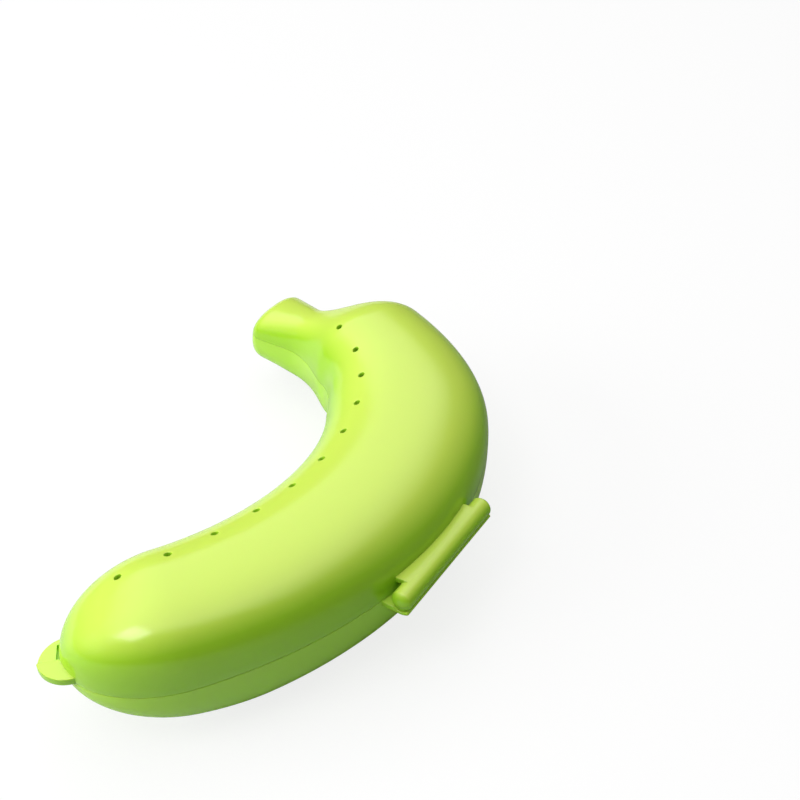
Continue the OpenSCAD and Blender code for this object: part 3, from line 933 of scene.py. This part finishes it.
class CASE_OT_latch_strap(bpy.types.Operator):
    """Strap on the base's inner curve, with the slot behind it"""

    bl_idname = "banana_case.latch_strap"
    bl_label = "Latch strap"

    def execute(self, context):
        form = CaseForm(context.scene.banana_case)
        latch = form.latch
        out, half = latch.strap_gap + latch.strap_t, latch.strap_len / 2
        slot = latch.hook_w / 2 + latch.hook_gap
        outline = [(half, -SEAT), (half, latch.strap_gap), (half - out, out)]
        outline += [(-x, y) for x, y in reversed(outline)]
        outline += [(-slot, -SEAT), (-slot, latch.strap_gap), (slot, latch.strap_gap), (slot, -SEAT)]
        spot = form.at(latch.at, form.half_w(latch.at))
        levels = (-form.foot - latch.strap_h, -form.foot)
        bm = sleeve([[spot @ Vector((x, y, z)) for x, y in outline] for z in levels])
        soften(bm, latch.edge)
        piece = to_object("latch_strap_piece", bm)
        finish_piece(piece, "latch_strap", "base", "base_plastic")
        return {"FINISHED"}


class CASE_OT_latch_hook(bpy.types.Operator):
    """Springy hook with its nose"""

    bl_idname = "banana_case.latch_hook"
    bl_label = "Latch hook"

    def execute(self, context):
        form = CaseForm(context.scene.banana_case)
        latch = form.latch
        front = -HOOK_INSET * latch.hook_t
        back = front - latch.hook_t
        tip = -latch.hook_down
        outline = [
            (back, latch.hook_up), (back, tip), (front, tip),
            (front + latch.nose_out, tip + latch.nose_h / 2), (front + latch.nose_out, tip + latch.nose_h),
            (front, tip + latch.nose_h), (front, latch.hook_up),
        ]
        spot = form.at(latch.at, form.half_w(latch.at))
        half = latch.hook_w / 2
        bm = sleeve([[spot @ Vector((x, y, z)) for y, z in outline] for x in (-half, half)])
        soften(bm, latch.hook_edge)
        piece = to_object("latch_hook_piece", bm)
        finish_piece(piece, "latch_hook", "latch", "lid_plastic")
        return {"FINISHED"}


def lug_spot(form, way):
    """Frame in the middle of the lid's or the base's lug."""
    ends = form.ends
    rise = way * (form.foot + ends.lug_t / 2)
    return form.at(0, -ends.lug_side) @ Matrix.Translation((ends.lug_in, 0, rise))


def lug(form, name, way):
    """Part of a round plate on one side of the split, with rounded edges, trimmed to the wall."""
    ends = form.ends
    corner, edge, half = ends.lug_corner, ends.lug_edge, ends.lug_t / 2
    far = way * ends.lug_split + ends.split_w / 2 + corner
    reach = math.sqrt((ends.lug_r - corner) ** 2 - far ** 2)
    turn = math.atan2(far, reach)
    arcs = (
        (reach, far, corner, -math.pi / 2, turn, CORNER_STEPS),
        (0, 0, ends.lug_r, turn, math.pi - turn, LUG_STEPS),
        (-reach, far, corner, math.pi - turn, 1.5 * math.pi, CORNER_STEPS),
    )

    def outline(inset, z):
        points = []
        for x, y, r, first, last, count in arcs:
            for k in range(count + 1):
                a = first + (last - first) * k / count
                across, out = x + (r - inset) * math.cos(a), y + (r - inset) * math.sin(a)
                points.append(Vector((across, -way * out, z)))
        return points

    low = [(HOLD * edge, -half)]
    for k in range(ROUND_STEPS + 1):
        a = math.pi / 2 * k / ROUND_STEPS
        low.append((edge * (1 - math.sin(a)), edge * (1 - math.cos(a)) - half))
    profile = low + [(inset, -z) for inset, z in reversed(low)]
    bm = sleeve([outline(inset, z) for inset, z in profile])
    bmesh.ops.transform(bm, matrix=lug_spot(form, way), verts=bm.verts)
    piece = to_object(name, bm)
    carve(piece, form.core(form.section.tip_rise, -SEAT))
    return piece


class CASE_OT_base_lug(bpy.types.Operator):
    """Lug of the base, on the inner curve's side of the tip, with a blind slot along the wall"""

    bl_idname = "banana_case.base_lug"
    bl_label = "Base lug"

    def execute(self, context):
        form = CaseForm(context.scene.banana_case)
        ends = form.ends
        piece = lug(form, "base_lug_piece", BASE)
        slot = bmesh.new()
        near, far = -ends.lug_in - ends.slot_w, ends.slot_side + ends.slot_len
        brick(slot, (near, ends.slot_side, ends.lug_t / 2 - ends.slot_deep), (0, far, ends.lug_t))
        bmesh.ops.transform(slot, matrix=lug_spot(form, BASE), verts=slot.verts)
        carve(piece, slot)
        finish_piece(piece, "base_lug", "base", "base_plastic")
        return {"FINISHED"}


class CASE_OT_lid_lug(bpy.types.Operator):
    """Lug of the lid, on the outer curve's side of the tip and one step higher"""

    bl_idname = "banana_case.lid_lug"
    bl_label = "Lid lug"

    def execute(self, context):
        piece = lug(CaseForm(context.scene.banana_case), "lid_lug_piece", LID)
        finish_piece(piece, "lid_lug", "lid", "lid_plastic")
        return {"FINISHED"}


# Panels overhead as (width, depth), from the lowest up, nested so that their reflection has soft edges
PANELS = ((1.5, 2.2), (1.9, 2.4), (2.3, 2.6), (2.7, 2.8))
PANEL_X, PANEL_Y, PANEL_Z = -0.2, 0.7, 1.2  # place of the lowest panel: to the right, away and up
PANEL_STEP = 0.01  # height from one panel to the next
AIM = (0, 0, 0.02)  # what the other lights shine at: the middle of the case
MOTTLE = 0.02  # how far the floor's tone varies


def floor_paper(stage, right):
    """White paper with one tone for the camera, one for reflections and one for the light it throws back."""
    material = bpy.data.materials.new("white_floor")
    net = Net(material)
    where = net.wire("ShaderNodeTexCoord", "Object")
    mottle = (net.noise(where, Scale=6.0, Detail=2.0) - 0.5) * MOTTLE
    seen, spread = net.rays("Is Camera Ray", "Is Diffuse Ray")
    along = net.wire(
        "ShaderNodeVectorMath", "Value", {"operation": "DOT_PRODUCT"}, {0: where, 1: right}
    )
    mirrored = net.wire(
        "ShaderNodeMapRange", "Result", None,
        {
            "Value": along,
            "From Min": 0.0,
            "From Max": stage.fade,
            "To Min": stage.mirrored,
            "To Max": stage.mirrored_right,
        },
    )
    tones = {
        name: mirrored + seen * (stage.white - mirrored) + spread * (bounce - mirrored) + mottle
        for name, bounce in zip(("Red", "Green", "Blue"), stage.floor)
    }
    tone = net.wire("ShaderNodeCombineColor", "Color", None, tones)
    shader = net.wire("ShaderNodeBsdfPrincipled", "BSDF", None, {"Base Color": tone, "Roughness": 0.7})
    white = net.wire("ShaderNodeEmission", "Emission", None, {"Color": grey(1.0), "Strength": 1.0})
    sheet = net.wire("ShaderNodeMixShader", "Shader", None, {0: seen * stage.glow, 1: shader, 2: white})
    net.node("ShaderNodeOutputMaterial", None, {"Surface": sheet})
    return material


def white_room(stage):
    """World that is white to the camera and lights the case faintly from all round."""
    world = bpy.data.worlds.new("white_room")
    net = Net(world)
    seen, through = net.rays("Is Camera Ray", "Is Transmission Ray")
    strength = stage.world + seen.math("MAXIMUM", seen, through) * (1.0 - stage.world)
    room = net.wire("ShaderNodeBackground", "Background", None, {"Color": grey(1.0), "Strength": strength})
    net.node("ShaderNodeOutputWorld", None, {"Surface": room})
    return world


def studio_light(view, name, place, aim, size, power, mirrored=True):
    """Rectangular light, with its place and aim given to the camera's right, away from it and up."""
    spot, target = view @ Vector(place), view @ Vector(aim)
    lamp = bpy.data.lights.new(name, "AREA")
    lamp.shape, lamp.energy = "RECTANGLE", power
    lamp.size, lamp.size_y = size
    axis = (spot - target).normalized()
    across = view.col[0] if axis.z > UPRIGHT else UP.cross(axis).normalized()
    turn = Matrix((across, axis.cross(across), axis)).transposed()
    light = bpy.data.objects.new(name, lamp)
    light.matrix_world = Matrix.Translation(spot) @ turn.to_4x4()
    light.visible_glossy = mirrored
    bpy.context.scene.collection.objects.link(light)


class CASE_OT_stage(bpy.types.Operator):
    """White floor, soft studio lights and the camera"""

    bl_idname = "banana_case.stage"
    bl_label = "Stage"

    def execute(self, context):
        scene = context.scene
        stage = scene.banana_case.stage
        look = Vector(stage.look).normalized()
        right = look.cross(UP).normalized()
        away = Vector((look.x, look.y, 0)).normalized()
        bm = bmesh.new()
        bmesh.ops.create_grid(bm, x_segments=8, y_segments=8, size=stage.floor_size / 2)
        floor = to_object("floor", bm)
        floor.data.materials.append(floor_paper(stage, right))
        scene.world = white_room(stage)

        view = Matrix((right, away, UP)).transposed()
        for k, (width, depth) in enumerate(PANELS):
            place = (PANEL_X, PANEL_Y, PANEL_Z + k * PANEL_STEP)
            power = stage.ceiling * width * depth
            studio_light(view, f"ceiling_light_{k}", place, (PANEL_X, PANEL_Y, 0), (width, depth), power)
        studio_light(view, "key_light", (-0.45, -0.36, 0.95), AIM, (0.5, 0.34), stage.key)
        studio_light(view, "side_light", (-1.0, -0.2, 0.45), AIM, (0.8, 0.5), stage.side, mirrored=False)

        lens = bpy.data.cameras.new("camera")
        lens.lens, lens.sensor_width, lens.clip_start = stage.lens, 36.0, 0.01
        camera = bpy.data.objects.new("camera", lens)
        camera.location = stage.camera
        camera.rotation_euler = look.to_track_quat("-Z", "Y").to_euler()
        scene.collection.objects.link(camera)
        scene.camera = camera
        scene.view_settings.view_transform = "Standard"
        return {"FINISHED"}


GROUPS = (
    CaseLine, CaseSection, CaseVents, CaseHinge, CaseLatch, CaseEnds, CaseLook, CaseStage, CaseSettings,
)
OPERATORS = (
    CASE_OT_lid_shell, CASE_OT_base_shell, CASE_OT_stem_tongue, CASE_OT_hinge_rod, CASE_OT_hinge_web,
    CASE_OT_hinge_trough, CASE_OT_latch_strap, CASE_OT_latch_hook, CASE_OT_base_lug, CASE_OT_lid_lug,
    CASE_OT_stage,
)


class CASE_PT_panel(bpy.types.Panel):
    """Lists the pieces of the case"""

    bl_idname = "CASE_PT_panel"
    bl_label = "Banana case"
    bl_space_type = "VIEW_3D"
    bl_region_type = "UI"
    bl_category = "Case"

    def draw(self, context):
        for operator in OPERATORS:
            self.layout.operator(operator.bl_idname)


def register():
    for cls in (*GROUPS, *OPERATORS, CASE_PT_panel):
        bpy.utils.register_class(cls)
    bpy.types.Scene.banana_case = bpy.props.PointerProperty(type=CaseSettings)


def unregister():
    del bpy.types.Scene.banana_case
    for cls in (CASE_PT_panel, *reversed(OPERATORS), *reversed(GROUPS)):
        bpy.utils.unregister_class(cls)


def main():
    register()
    make = bpy.ops.banana_case
    make.lid_shell()
    make.base_shell()
    make.stem_tongue()
    make.hinge_rod()
    make.hinge_web()
    make.hinge_trough()
    make.latch_strap()
    make.latch_hook()
    make.base_lug()
    make.lid_lug()
    make.stage()


if __name__ == "__main__":
    main()
